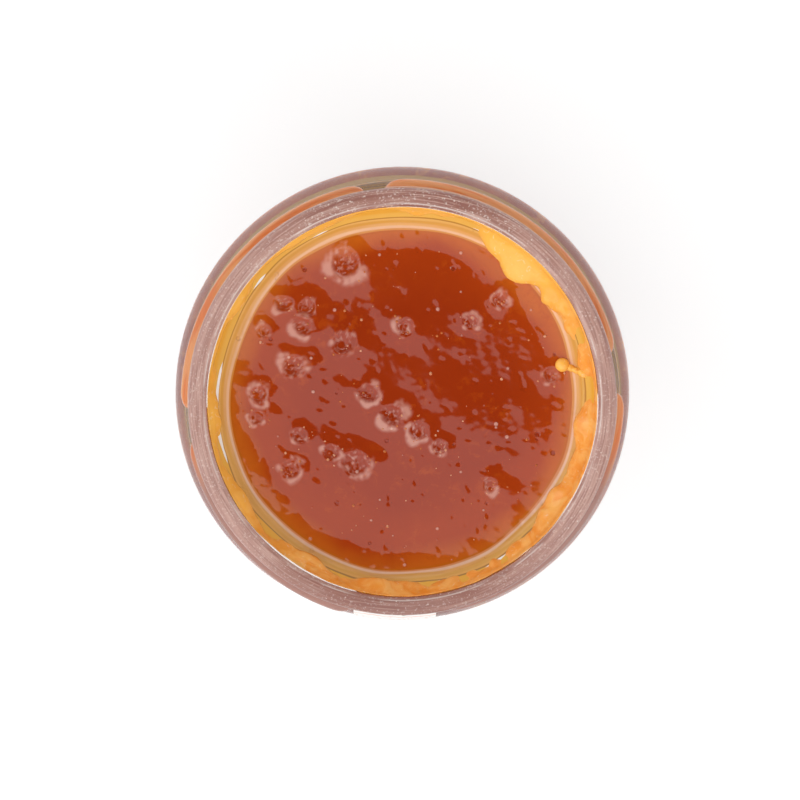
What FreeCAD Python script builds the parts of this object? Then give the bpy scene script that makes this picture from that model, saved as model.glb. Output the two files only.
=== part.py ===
"""An open glass jar of apricot jam: a 63 mm twist-off jar with four lugs, filled to the neck.

Frame: millimetres, +Z up, origin at the centre of the base, on the plane that the jar stands on.
The torn paper seal is on the -Y side.
"""

import FreeCAD
import Part
import math
import os

# ---------------------------------------------------------------- glass: overall sizes
jar_height = 84.0
body_radius = 33.0
wall = 2.4
base_thickness = 4.6
floor_rise = 0.6            # the inside of the base is this much higher in the middle
floor_flat_radius = 10.0
inner_heel_round = 6.0

# glass: foot
punt_rise = 2.4
punt_flat_radius = 15.0
punt_round = 6.0
foot_width = 2.2
foot_round = 1.0
heel_radius = 5.5
knurl_count = 48
knurl_radius = 0.55
knurl_depth = 0.28
knurl_overrun = 0.6         # past either edge of the ring

# glass: the panel between the two raised contact bands
panel_recess = 0.35
lower_band_height = 11.0
upper_band_height = 9.0
band_step = 1.6
band_round = 1.5

# glass: finish, measured down from the rim
finish_radius = 29.2
finish_wall = 2.6
rim_inner_round = 0.7
rim_outer_round = 0.9
neck_height = 12.0
neck_proud = 0.3
neck_round = 0.5
bore_foot_rise = 0.8        # the straight bore ends this far above the foot of the neck
bore_foot_round = 3.0
shoulder_rise = 1.6
shoulder_round = 4.8
inner_shoulder_drop = 4.4
inner_shoulder_round = 4.0
bead_proud = 1.4
bead_height = 2.4
bead_depth = 9.4
bead_slope = 0.5
bead_round = 0.6

# glass: the four lugs of the twist-off thread
lug_count = 4
lug_span = 82.0
lug_first_angle = 12.5
lug_high_depth = 3.2
lug_drop = 2.6
lug_proud = 1.3
lug_round = 1.2              # radius of its section
lug_tip_span = 5.0           # degrees over which each end tapers
lug_tip_size = 0.35          # section there, as a share of the full one
lug_tip_proud = 0.1
lug_steps = 8                # sections along the even part

# ---------------------------------------------------------------- jam
jam_depth = 6.0             # from the rim down to the level of the jam
climb_width = 4.0           # the jam climbs the glass over this width
climb_height = 4.0          # how far it climbs at the wall
climb_power = 1.5
wave_height = 0.22
wave_length = 21.0
grid_step = 1.35            # spacing of the points that the top surface passes through
rim_clearance = 1.2         # the jam stays this far below the rim wherever it climbs

# craters that bubbles left, as (x, y, radius)
craters = [
    (-7.8, 19.3, 2.1), (-8.0, 8.0, 1.7), (-16.5, 13.5, 1.3), (-13.2, 12.8, 1.4),
    (-13.8, 10.4, 1.4), (-19.2, 9.6, 1.0), (-15.2, 4.8, 1.7), (-4.6, 1.0, 1.5),
    (-20.0, 0.8, 1.4), (-1.4, -2.0, 1.7), (-20.3, -2.4, 1.1), (-14.4, -4.9, 1.2),
    (-9.9, -7.3, 1.2), (-6.6, -8.8, 2.0), (-15.6, -9.6, 1.5), (9.4, 10.9, 1.1),
    (2.3, -4.2, 1.5), (5.2, -6.4, 1.1), (13.6, 14.0, 1.2), (20.6, 3.6, 1.2),
    (0.4, 10.2, 1.3), (12.2, -11.8, 1.1),
]
crater_rim = 1.35           # the swollen rim, as a share of the crater's radius
crater_rim_rise = 0.28
crater_skirt = 1.6          # how far the swelling's dome goes on under the surface, as a share of the rim
crater_root = 1.6
crater_sink = 0.45          # how deep the crater goes, as a share of its radius

# pulp that stuck to the glass above the level, as (name, first angle, last angle, thickness, drop)
smears = [
    ("smear_upper_right", 22.0, 63.0, 3.4, 3.0),
    ("smear_lower_right", 301.0, 352.0, 3.0, 3.1),
    ("smear_front", 236.0, 266.0, 2.4, 2.7),
    ("smear_left", 176.0, 214.0, 1.7, 2.4),
]
smear_top_depth = 1.5       # below the rim
smear_sections = 9
smear_end_share = 0.3       # size of a smear's ends, as a share of its middle
smear_root = 0.6            # how far its section starts inside the glass, before it is trimmed

# ---------------------------------------------------------------- paper seal
seal_width = 12.0
seal_angle = 268.0
seal_thickness = 0.15
seal_bottom = 44.0
seal_tear_radius = 31.3     # where its torn end lies on the shoulder

# ---------------------------------------------------------------- derived places
panel_radius = body_radius - panel_recess
neck_radius = finish_radius + neck_proud
neck_foot = jar_height - neck_height
shoulder_foot = neck_foot - shoulder_rise
bead_centre = jar_height - bead_depth
cavity_radius = body_radius - wall
bore_radius = finish_radius - finish_wall
jam_level = jar_height - jam_depth
foot_radius = body_radius - heel_radius
shoulder_turn = math.atan2(body_radius - neck_radius, shoulder_rise)
wall_top = shoulder_foot - shoulder_round * math.tan(shoulder_turn / 2)


def corner_arc(before, corner, after, radius):
    """The two tangent points and the middle point of a fillet at a corner of an outline."""
    to_before = (before - corner).normalize()
    to_after = (after - corner).normalize()
    half = to_before.getAngle(to_after) / 2
    reach = radius / math.tan(half)
    middle_direction = (to_before + to_after).normalize()
    centre = corner + middle_direction * (radius / math.sin(half))
    middle = centre - middle_direction * radius
    return corner + to_before * reach, middle, corner + to_after * reach


def rounded_outline(corners):
    """Edges through (r, z, fillet radius) corners in the XZ plane, from the first corner to the last."""
    points = [FreeCAD.Vector(r, 0, z) for r, z, _ in corners]
    edges = []
    last = points[0]
    for index in range(1, len(points) - 1):
        radius = corners[index][2]
        if radius == 0:
            edges.append(Part.makeLine(last, points[index]))
            last = points[index]
            continue
        start, middle, end = corner_arc(points[index - 1], points[index], points[index + 1], radius)
        if last.distanceToPoint(start) > 1e-6:
            edges.append(Part.makeLine(last, start))
        edges.append(Part.Arc(start, middle, end).toShape())
        last = end
    edges.append(Part.makeLine(last, points[-1]))
    return edges


def revolved(edges):
    """The solid that a closed outline in the XZ plane makes round the Z axis."""
    face = Part.Face(Part.Wire(Part.__sortEdges__(edges)))
    return face.revolve(FreeCAD.Vector(0, 0, 0), FreeCAD.Vector(0, 0, 1), 360)


def upper_body_corners():
    """Outside of the glass from the top of the panel to the foot of the neck."""
    upper_band_foot = wall_top - upper_band_height + shoulder_round
    return [
        (panel_radius, upper_band_foot - band_step, band_round),
        (body_radius, upper_band_foot, band_round),
        (body_radius, shoulder_foot, shoulder_round),
        (neck_radius, neck_foot, neck_round),
    ]


def outer_corners():
    """Outside of the glass, from the middle of the punt to the inner edge of the rim."""
    bead_low = bead_centre - bead_height / 2
    bead_high = bead_centre + bead_height / 2
    bead_radius = finish_radius + bead_proud
    foot_and_panel = [
        (0, punt_rise, 0),
        (punt_flat_radius, punt_rise, punt_round),
        (foot_radius - foot_width, 0, foot_round),
        (body_radius, 0, heel_radius),
        (body_radius, lower_band_height, band_round),
        (panel_radius, lower_band_height + band_step, band_round),
    ]
    finish = [
        (neck_radius, bead_low - bead_slope, bead_round / 2),
        (bead_radius, bead_low, bead_round),
        (bead_radius, bead_high, bead_round),
        (finish_radius, bead_high + bead_slope, neck_round),
        (finish_radius, jar_height, rim_outer_round),
        (bore_radius, jar_height, rim_inner_round),
    ]
    return foot_and_panel + upper_body_corners() + finish


def cavity_corners():
    """Inside of the glass, from the rim to the middle of the floor."""
    return [
        (bore_radius, jar_height, 0),
        (bore_radius, neck_foot + bore_foot_rise, bore_foot_round),
        (cavity_radius, neck_foot - inner_shoulder_drop, inner_shoulder_round),
        (cavity_radius, base_thickness, inner_heel_round),
        (floor_flat_radius, base_thickness + floor_rise, 0),
        (0, base_thickness + floor_rise, 0),
    ]


def glass_shell():
    """The jar without its lugs: outside and inside outlines joined at the rim's rounded inner edge."""
    inside = cavity_corners()[1:]
    corners = outer_corners() + inside
    edges = rounded_outline(corners)
    floor = FreeCAD.Vector(0, 0, inside[-1][1])
    edges.append(Part.makeLine(floor, FreeCAD.Vector(0, 0, punt_rise)))
    return revolved(edges)


def cavity_below(height):
    """What would fill the jar up to a height, with straight sides in the bore."""
    corners = cavity_corners()
    corners[0] = (bore_radius, height, 0)
    edges = rounded_outline(corners)
    top = FreeCAD.Vector(0, 0, height)
    floor = FreeCAD.Vector(0, 0, corners[-1][1])
    edges.append(Part.makeLine(floor, top))
    edges.append(Part.makeLine(top, FreeCAD.Vector(bore_radius, 0, height)))
    return revolved(edges)


def lug_section(share):
    """A lug's round section at a share of its length, smaller and sunk towards either tip."""
    from_tip = min(share, 1 - share) * lug_span / lug_tip_span
    swell = math.sqrt(1 - (1 - min(1.0, from_tip)) ** 2)
    size = lug_round * (lug_tip_size + (1 - lug_tip_size) * swell)
    crest = finish_radius + lug_proud * (lug_tip_proud + (1 - lug_tip_proud) * swell)
    circle = Part.makeCircle(
        size, FreeCAD.Vector(crest - size, 0, lug_drop * share), FreeCAD.Vector(0, 1, 0)
    )
    circle.rotate(FreeCAD.Vector(0, 0, 0), FreeCAD.Vector(0, 0, 1), lug_span * share)
    return Part.Wire([circle])


def lug():
    """One lug: a round bar, half sunk in the wall, that climbs towards the rim."""
    tip = lug_tip_span / lug_span
    tip_shares = [0, 0.1 * tip, 0.35 * tip, tip]
    middle_shares = [tip + (1 - 2 * tip) * step / lug_steps for step in range(1, lug_steps)]
    shares = tip_shares + middle_shares + [1 - share for share in reversed(tip_shares)]
    return Part.makeLoft([lug_section(share) for share in shares], True, False)


def knurls():
    """Short grooves across the ring that the jar stands on."""
    cutters = []
    ring_radius = foot_radius - foot_width / 2
    length = foot_width + 2 * knurl_overrun
    for index in range(knurl_count):
        groove = Part.makeCylinder(
            knurl_radius, length,
            FreeCAD.Vector(ring_radius - length / 2, 0, knurl_depth - knurl_radius),
            FreeCAD.Vector(1, 0, 0),
        )
        groove.rotate(FreeCAD.Vector(0, 0, 0), FreeCAD.Vector(0, 0, 1), 360 * (index + 0.5) / knurl_count)
        cutters.append(groove)
    return cutters


def jar():
    """The glass: shell, lugs and knurled foot, as one solid."""
    glass = glass_shell()
    for index in range(lug_count):
        piece = lug()
        piece.translate(FreeCAD.Vector(0, 0, jar_height - lug_high_depth - lug_drop))
        piece.rotate(
            FreeCAD.Vector(0, 0, 0), FreeCAD.Vector(0, 0, 1),
            lug_first_angle + index * 360 / lug_count,
        )
        glass = glass.fuse(piece)
    return glass.cut(knurls())


def climb(radius):
    """How far the jam has climbed the glass at a radius."""
    share = (radius - bore_radius + climb_width) / climb_width
    return climb_height * max(0.0, share) ** climb_power


def wave(x, y):
    """The slow swell of the set surface."""
    turn = 2 * math.pi / wave_length
    swell = math.sin(turn * (x + 0.4 * y) + 0.7) + math.cos(turn * (y - 0.3 * x) - 0.4)
    return wave_height * swell / 2


def top_cutter():
    """Everything above the jam's top surface, as a block with a wavy underside."""
    reach = bore_radius + 2 * grid_step
    count = int(2 * reach / grid_step) + 1
    steps = [-reach + 2 * reach * index / (count - 1) for index in range(count)]
    grid = []
    for x in steps:
        row = []
        for y in steps:
            radius = min(math.hypot(x, y), bore_radius + grid_step)
            row.append(FreeCAD.Vector(x, y, jam_level + wave(x, y) + climb(radius)))
        grid.append(row)
    surface = Part.BSplineSurface()
    surface.interpolate(grid)
    return surface.toShape().extrude(FreeCAD.Vector(0, 0, jar_height))


def crater_tools():
    """Low domes that swell round each bubble, and the balls that scoop the craters out of them.

    The balls lie with their poles level, so that no pole ends up on the jam.
    """
    domes = []
    scoops = []
    sideways = FreeCAD.Vector(1, 0, 0)
    for x, y, radius in craters:
        level = jam_level + wave(x, y) + climb(math.hypot(x, y))
        rim_radius = radius * crater_rim
        dome_radius = (rim_radius ** 2 + crater_rim_rise ** 2) / (2 * crater_rim_rise)
        dome_centre = FreeCAD.Vector(x, y, level + crater_rim_rise - dome_radius)
        dome = Part.makeSphere(dome_radius, dome_centre, sideways)
        foot = FreeCAD.Vector(x, y, level - crater_root)
        collar = Part.makeCylinder(rim_radius * crater_skirt, crater_root + 1, foot)
        domes.append(dome.common(collar))
        depth = radius * crater_sink
        scoop_radius = (radius ** 2 + depth ** 2) / (2 * depth)
        scoop_centre = FreeCAD.Vector(x, y, level + crater_rim_rise / 2 - depth + scoop_radius)
        scoops.append(Part.makeSphere(scoop_radius, scoop_centre, sideways))
    return domes, scoops


def jam():
    """The jam, out to the glass and up to its wavy, pitted top."""
    block = cavity_below(jar_height - rim_clearance).cut(top_cutter())
    domes, scoops = crater_tools()
    return block.fuse(domes).cut(scoops)


def bulge_section(root_radius, crest_radius, low_height, high_height):
    """A closed section in the XZ plane: a straight root with an arc that bulges from it to the crest."""
    low = FreeCAD.Vector(root_radius, 0, low_height)
    high = FreeCAD.Vector(root_radius, 0, high_height)
    crest = FreeCAD.Vector(crest_radius, 0, (low_height + high_height) / 2)
    return Part.Wire([Part.Arc(low, crest, high).toShape(), Part.makeLine(high, low)])


def smear(first_angle, last_angle, thickness, drop, filled):
    """Pulp that hangs on the wall between two angles, thickest in the middle, down to the jam."""
    sections = []
    top = jar_height - smear_top_depth
    for index in range(smear_sections):
        share = index / (smear_sections - 1)
        size = smear_end_share + (1 - smear_end_share) * math.sin(math.pi * share) ** 0.7
        section = bulge_section(bore_radius + smear_root, bore_radius - thickness * size, top - drop * size, top)
        section.rotate(
            FreeCAD.Vector(0, 0, 0), FreeCAD.Vector(0, 0, 1),
            first_angle + (last_angle - first_angle) * share,
        )
        sections.append(section)
    lump = Part.makeLoft(sections, True, False)
    return lump.common(cavity_below(jar_height)).cut(filled)


def skin_corners(corners, thickness):
    """The corners of an outline of the glass, moved straight out from it by a thickness."""
    points = [FreeCAD.Vector(r, 0, z) for r, z, _ in corners]
    normals = []
    for start, end in zip(points, points[1:]):
        along = (end - start).normalize()
        normals.append(FreeCAD.Vector(along.z, 0, -along.x))
    befores = normals[:1] + normals
    afters = normals + normals[-1:]
    moved = []
    for point, before, after, (_, _, fillet) in zip(points, befores, afters, corners):
        shift = (before + after) * (thickness / (1 + before.dot(after)))
        outside_corner = before.cross(after).y < 0
        round_change = thickness if outside_corner else -thickness
        moved.append((point.x + shift.x, point.z + shift.z, fillet + round_change if fillet else 0))
    return moved


def paper_seal():
    """A strip of paper glued up the side and over the shoulder, where it ends in a tear."""
    glass_side = [(panel_radius, seal_bottom, 0)] + upper_body_corners()
    outside = skin_corners(glass_side, seal_thickness)
    edges = rounded_outline(glass_side) + rounded_outline(outside)
    for end in (0, -1):
        edges.append(Part.makeLine(
            FreeCAD.Vector(glass_side[end][0], 0, glass_side[end][1]),
            FreeCAD.Vector(outside[end][0], 0, outside[end][1]),
        ))
    cut_out = Part.makeBox(
        body_radius, seal_width, jar_height,
        FreeCAD.Vector(seal_tear_radius, -seal_width / 2, 0),
    )
    strip = revolved(edges).common(cut_out)
    strip.rotate(FreeCAD.Vector(0, 0, 0), FreeCAD.Vector(0, 0, 1), seal_angle)
    return strip


def one_solid(shape):
    """The largest solid of a result, as a solid and not a compound."""
    return max(shape.Solids, key=lambda solid: solid.Volume)


os.makedirs("parts", exist_ok=True)
filling = jam()
parts = {"jar": jar(), "jam": filling, "paper_seal": paper_seal()}
for name, first_angle, last_angle, thickness, drop in smears:
    parts[name] = smear(first_angle, last_angle, thickness, drop, filling)
for name, shape in parts.items():
    solid = one_solid(shape)
    solid.exportStep(f"parts/{name}.step")
    print(name, len(shape.Solids), solid.isValid(), round(solid.Volume, 1), solid.BoundBox)
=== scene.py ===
import math
import random

import bmesh
import bpy
from mathutils import Matrix, Vector, noise


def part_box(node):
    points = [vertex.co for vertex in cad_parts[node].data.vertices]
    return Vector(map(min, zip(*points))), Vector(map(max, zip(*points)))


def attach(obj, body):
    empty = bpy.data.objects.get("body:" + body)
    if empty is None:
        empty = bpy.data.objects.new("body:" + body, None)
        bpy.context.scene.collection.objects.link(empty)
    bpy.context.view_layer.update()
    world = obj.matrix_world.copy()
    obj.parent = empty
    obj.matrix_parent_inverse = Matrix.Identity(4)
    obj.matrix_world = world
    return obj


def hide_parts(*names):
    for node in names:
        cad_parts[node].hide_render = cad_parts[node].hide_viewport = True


mm = 0.001
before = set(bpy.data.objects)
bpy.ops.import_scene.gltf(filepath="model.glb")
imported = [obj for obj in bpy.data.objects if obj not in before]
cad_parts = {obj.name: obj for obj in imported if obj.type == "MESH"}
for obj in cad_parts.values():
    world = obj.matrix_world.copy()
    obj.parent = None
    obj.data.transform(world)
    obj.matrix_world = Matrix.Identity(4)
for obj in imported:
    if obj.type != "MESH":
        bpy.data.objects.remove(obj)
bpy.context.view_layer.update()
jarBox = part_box("jar")
jarHeight = jarBox[1].z / mm
bodyRadius = jarBox[1].x / mm
print("frame loaded, jar", round(jarHeight, 1), "mm high")

scene = bpy.context.scene
scene.view_settings.view_transform = "Standard"


# ---- small helpers

def newPiece(name, mesh, materials):
    piece = bpy.data.objects.new(name, mesh)
    scene.collection.objects.link(piece)
    for material in materials:
        mesh.materials.append(material)
    for face in mesh.polygons:
        face.use_smooth = True
    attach(piece, "root")
    return piece


def finishMesh(bm, name):
    bmesh.ops.remove_doubles(bm, verts=bm.verts, dist=1e-6)
    bmesh.ops.recalc_face_normals(bm, faces=bm.faces)
    bmesh.ops.scale(bm, vec=(mm, mm, mm), verts=bm.verts)
    mesh = bpy.data.meshes.new(name)
    bm.to_mesh(mesh)
    bm.free()
    return mesh


def smoothStep(low, high, value):
    share = min(1.0, max(0.0, (value - low) / (high - low)))
    return share * share * (3 - 2 * share)


def angleOf(x, y):
    return math.degrees(math.atan2(y, x)) % 360


def wobble(x, y, z, seed):
    return noise.noise(Vector((x, y, z + 13.7 * seed)))


def roundedOutline(corners, arcSteps=6):
    # points through (r, z, fillet) corners, with each fillet as an arc
    points = [Vector((corners[0][0], corners[0][1]))]
    for index in range(1, len(corners) - 1):
        before, here, after = (Vector(corners[index + step][:2]) for step in (-1, 0, 1))
        radius = corners[index][2]
        if radius == 0:
            points.append(here)
            continue
        toBefore = (before - here).normalized()
        toAfter = (after - here).normalized()
        half = toBefore.angle(toAfter) / 2
        middle = (toBefore + toAfter).normalized()
        centre = here + middle * (radius / math.sin(half))
        start = here + toBefore * (radius / math.tan(half)) - centre
        end = here + toAfter * (radius / math.tan(half)) - centre
        for step in range(arcSteps + 1):
            points.append(centre + radius * start.slerp(end, step / arcSteps))
    points.append(Vector((corners[-1][0], corners[-1][1])))
    return points


def closeSteps(points, longest):
    # the same line with extra points where two are further apart than longest
    result = [points[0]]
    for point in points[1:]:
        count = max(1, math.ceil((point - result[-1]).length / longest))
        start = result[-1]
        for step in range(1, count + 1):
            result.append(start.lerp(point, step / count))
    return result


def spinProfile(points, steps):
    bm = bmesh.new()
    verts = [bm.verts.new((point.x, 0, point.y)) for point in points]
    edges = [bm.edges.new(pair) for pair in zip(verts, verts[1:])]
    bmesh.ops.spin(bm, geom=verts + edges, cent=(0, 0, 0), axis=(0, 0, 1),
                   angle=math.tau, steps=steps, use_merge=True)
    return bm


# ---- node helpers

class Nodes:
    def __init__(self, tree):
        self.tree = tree
        tree.nodes.clear()

    def add(self, kind, **values):
        node = self.tree.nodes.new("ShaderNode" + kind)
        for key, value in values.items():
            setattr(node, key, value)
        return node

    def link(self, output, socket):
        self.tree.links.new(output, socket)

    def put(self, socket, value):
        if isinstance(value, bpy.types.NodeSocket):
            self.link(value, socket)
        else:
            socket.default_value = value

    def maths(self, operation, first, second=0.0, third=0.0, clamp=False):
        node = self.add("Math", operation=operation, use_clamp=clamp)
        for socket, value in zip(node.inputs, (first, second, third)):
            self.put(socket, value)
        return node.outputs[0]

    def times(self, first, second):
        return self.maths("MULTIPLY", first, second)

    def mix(self, amount, first, second):
        node = self.add("MixRGB")
        for socket, value in zip(node.inputs, (amount, first, second)):
            self.put(socket, value)
        return node.outputs[0]

    def ramp(self, value, low, high, lowOut=0.0, highOut=1.0, smooth=True):
        node = self.add("MapRange", interpolation_type="SMOOTHSTEP" if smooth else "LINEAR")
        for socket, number in zip(node.inputs, (value, low, high, lowOut, highOut)):
            self.put(socket, number)
        return node.outputs[0]

    def noise(self, vector, scale, detail=2.0, rough=0.5, distortion=0.0):
        node = self.add("TexNoise")
        self.link(vector, node.inputs["Vector"])
        node.inputs["Scale"].default_value = scale
        node.inputs["Detail"].default_value = detail
        node.inputs["Roughness"].default_value = rough
        node.inputs["Distortion"].default_value = distortion
        return node.outputs[0]

    def bump(self, height, strength, distance):
        node = self.add("Bump")
        self.link(height, node.inputs["Height"])
        node.inputs["Strength"].default_value = strength
        node.inputs["Distance"].default_value = distance
        return node.outputs[0]

    def split(self, vector):
        node = self.add("SeparateXYZ")
        self.link(vector, node.inputs[0])
        return node.outputs

    def attribute(self, name):
        return self.add("Attribute", attribute_name=name).outputs["Fac"]

    def place(self):
        return self.add("TexCoord").outputs["Object"]


def newMaterial(name, rough=0.5):
    material = bpy.data.materials.new(name)
    material.use_nodes = True
    nodes = Nodes(material.node_tree)
    shader = nodes.add("BsdfPrincipled")
    shader.inputs["Roughness"].default_value = rough
    output = nodes.add("OutputMaterial")
    nodes.link(shader.outputs[0], output.inputs[0])
    return material, nodes, shader


# ---- glass

glassSizes = {
    "wall": 2.4, "baseThickness": 4.6, "floorRise": 0.6, "floorFlatRadius": 10.0, "innerHeelRound": 6.0,
    "puntRise": 2.4, "puntFlatRadius": 15.0, "puntRound": 6.0, "footWidth": 2.2, "footRound": 1.0,
    "heelRadius": 5.5, "knurlCount": 48, "knurlWidth": 0.5, "knurlDepth": 0.26,
    "panelRecess": 0.35, "lowerBand": 11.0, "upperBand": 9.0, "bandStep": 1.6, "bandRound": 1.5,
    "finishRadius": 29.2, "finishWall": 2.6, "rimInner": 0.7, "rimOuter": 0.9,
    "neckHeight": 12.0, "neckProud": 0.3, "neckRound": 0.5, "boreFootRise": 0.8, "boreFootRound": 3.0,
    "shoulderRise": 1.6, "shoulderRound": 4.8, "innerShoulderDrop": 4.4, "innerShoulderRound": 4.0,
    "beadProud": 1.4, "beadHeight": 2.4, "beadDepth": 9.4, "beadSlope": 0.5, "beadRound": 0.6,
    "lugSpans": [(12.5, 82.0), (100.0, 82.0), (190.5, 66.0), (281.0, 82.0)],   # first angle and length
    "lugHighDepth": 3.2, "lugDrop": 2.6, "lugProud": 1.3, "lugRound": 1.2, "lugTip": 5.0, "lugTipWidth": 0.45,
    "steps": 360, "finishStep": 0.18, "bodyStep": 3.0, "knurlEdge": 0.6,
}
g = glassSizes
boreRadius = g["finishRadius"] - g["finishWall"]
cavityRadius = bodyRadius - g["wall"]
footRadius = bodyRadius - g["heelRadius"]
neckFoot = jarHeight - g["neckHeight"]
shoulderFoot = neckFoot - g["shoulderRise"]
shoulderTurn = math.atan2(bodyRadius - g["finishRadius"] - g["neckProud"], g["shoulderRise"])
wallTop = shoulderFoot - g["shoulderRound"] * math.tan(shoulderTurn / 2)


def outerCorners():
    panel = bodyRadius - g["panelRecess"]
    neck = g["finishRadius"] + g["neckProud"]
    bead = g["finishRadius"] + g["beadProud"]
    beadLow = jarHeight - g["beadDepth"] - g["beadHeight"] / 2
    beadHigh = beadLow + g["beadHeight"]
    bandFoot = wallTop - g["upperBand"] + g["shoulderRound"]
    return [
        (0, g["puntRise"], 0), (g["puntFlatRadius"], g["puntRise"], g["puntRound"]),
        (footRadius - g["footWidth"], 0, g["footRound"]), (bodyRadius, 0, g["heelRadius"]),
        (bodyRadius, g["lowerBand"], g["bandRound"]), (panel, g["lowerBand"] + g["bandStep"], g["bandRound"]),
        (panel, bandFoot - g["bandStep"], g["bandRound"]), (bodyRadius, bandFoot, g["bandRound"]),
        (bodyRadius, shoulderFoot, g["shoulderRound"]), (neck, neckFoot, g["neckRound"]),
        (neck, beadLow - g["beadSlope"], g["beadRound"] / 2), (bead, beadLow, g["beadRound"]),
        (bead, beadHigh, g["beadRound"]), (g["finishRadius"], beadHigh + g["beadSlope"], g["neckRound"]),
        (g["finishRadius"], jarHeight, g["rimOuter"]), (boreRadius, jarHeight, g["rimInner"]),
    ]


def innerCorners():
    floorHeight = g["baseThickness"] + g["floorRise"]
    return [
        (boreRadius, neckFoot + g["boreFootRise"], g["boreFootRound"]),
        (cavityRadius, neckFoot - g["innerShoulderDrop"], g["innerShoulderRound"]),
        (cavityRadius, g["baseThickness"], g["innerHeelRound"]),
        (g["floorFlatRadius"], floorHeight, 0), (0, floorHeight, 0),
    ]


def lugProudAt(angle, height):
    # how far the thread stands out of the finish at a place on it
    for first, span in g["lugSpans"]:
        along = (angle - first) % 360
        if along < span:
            break
    else:
        return 0.0
    fromTip = min(along, span - along) / g["lugTip"]
    swell = math.sqrt(1 - (1 - min(1.0, fromTip)) ** 2)
    centre = jarHeight - g["lugHighDepth"] - g["lugDrop"] * (1 - along / span)
    halfWidth = g["lugRound"] * (g["lugTipWidth"] + (1 - g["lugTipWidth"]) * swell)
    offset = (height - centre) / halfWidth
    if abs(offset) >= 1:
        return 0.0
    return g["lugProud"] * swell * math.sqrt(1 - offset * offset)


def knurlAt(angle, radius):
    ring = smoothStep(footRadius - g["footWidth"] - g["knurlEdge"], footRadius - g["footWidth"], radius)
    ring *= 1 - smoothStep(footRadius, footRadius + g["knurlEdge"], radius)
    pitch = 360 / g["knurlCount"]
    offset = math.radians((angle - pitch / 2) % pitch - pitch / 2) * radius
    return g["knurlDepth"] * ring * max(0.0, 1 - (offset / g["knurlWidth"]) ** 2)


def buildGlass():
    outer = roundedOutline(outerCorners() + innerCorners())
    finishLow = jarHeight - g["beadDepth"] + g["beadHeight"] / 2
    points = []
    for first, second in zip(outer, outer[1:]):
        onFinish = abs(first.x - g["finishRadius"]) < 0.1 and min(first.y, second.y) > finishLow - 0.2
        points += closeSteps([first, second], g["finishStep"] if onFinish else g["bodyStep"])[:-1]
    points.append(outer[-1])
    bm = spinProfile(points, g["steps"])
    lugLayer = bm.verts.layers.float.new("lug")
    for vert in bm.verts:
        x, y, z = vert.co
        radius = math.hypot(x, y)
        if radius > g["finishRadius"] - 0.3 and finishLow < z < jarHeight - 0.6:
            proud = lugProudAt(angleOf(x, y), z)
            vert[lugLayer] = proud / g["lugProud"]
            vert.co.x *= 1 + proud / radius
            vert.co.y *= 1 + proud / radius
        if z < 0.6 and radius > g["puntFlatRadius"]:
            vert.co.z = max(z, knurlAt(angleOf(x, y), radius))
    return finishMesh(bm, "jarGlass")


def flatRadius(nodes, place):
    # the part of a place that lies level, and its distance from the jar's axis
    x, y, z = nodes.split(place)
    flat = nodes.add("CombineXYZ")
    nodes.link(x, flat.inputs[0])
    nodes.link(y, flat.inputs[1])
    length = nodes.add("VectorMath", operation="LENGTH")
    nodes.link(flat.outputs[0], length.inputs[0])
    return flat.outputs[0], length.outputs["Value"], z


def newGroup(name, inputs, outputs):
    group = bpy.data.node_groups.new(name, "ShaderNodeTree")
    for label, kind in inputs:
        group.interface.new_socket(label, in_out="INPUT", socket_type="NodeSocket" + kind)
    for label, kind in outputs:
        group.interface.new_socket(label, in_out="OUTPUT", socket_type="NodeSocket" + kind)
    nodes = Nodes(group)
    given = group.nodes.new("NodeGroupInput").outputs
    result = group.nodes.new("NodeGroupOutput").inputs
    return group, nodes, given, result


def ringStreaksGroup():
    # long streaks that run round the jar: fine across the radius, slow along the turn
    group, nodes, given, result = newGroup(
        "ringStreaks", [("Place", "Vector"), ("Across", "Float"), ("Along", "Float"), ("Detail", "Float")],
        [("Streak", "Float"), ("Radius", "Float")])
    flat, radius, height = flatRadius(nodes, given["Place"])
    turn = nodes.add("VectorMath", operation="NORMALIZE")
    nodes.link(flat, turn.inputs[0])
    slow = nodes.add("VectorMath", operation="SCALE")
    nodes.link(turn.outputs[0], slow.inputs[0])
    nodes.link(given["Along"], slow.inputs["Scale"])
    lift = nodes.add("CombineXYZ")
    slant = nodes.maths("SUBTRACT", radius, height)
    nodes.link(nodes.times(slant, given["Across"]), lift.inputs[2])
    total = nodes.add("VectorMath", operation="ADD")
    nodes.link(slow.outputs[0], total.inputs[0])
    nodes.link(lift.outputs[0], total.inputs[1])
    grain = nodes.add("TexNoise")
    nodes.link(total.outputs[0], grain.inputs["Vector"])
    nodes.link(given["Detail"], grain.inputs["Detail"])
    grain.inputs["Scale"].default_value = 1.0
    nodes.link(grain.outputs[0], result["Streak"])
    nodes.link(radius, result["Radius"])
    return group


def specksGroup():
    # small round dots of uneven size, in a share of the cells of a grid
    group, nodes, given, result = newGroup(
        "specks", [("Place", "Vector"), ("Scale", "Float"), ("Share", "Float"), ("Size", "Float")],
        [("Mask", "Float")])
    cells = nodes.add("TexVoronoi")
    nodes.link(given["Place"], cells.inputs["Vector"])
    nodes.link(given["Scale"], cells.inputs["Scale"])
    chance = nodes.add("SeparateColor")
    nodes.link(cells.outputs["Color"], chance.inputs[0])
    chosen = nodes.maths("LESS_THAN", chance.outputs[0], given["Share"])
    reach = nodes.times(nodes.maths("ADD", chance.outputs[1], 0.35), given["Size"])
    away = nodes.maths("DIVIDE", cells.outputs["Distance"], reach)
    inside = nodes.maths("SUBTRACT", 1.0, away, clamp=True)
    nodes.link(nodes.times(nodes.ramp(inside, 0.0, 0.5), chosen), result["Mask"])
    return group


ringStreaks = ringStreaksGroup()
specks = specksGroup()


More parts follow.
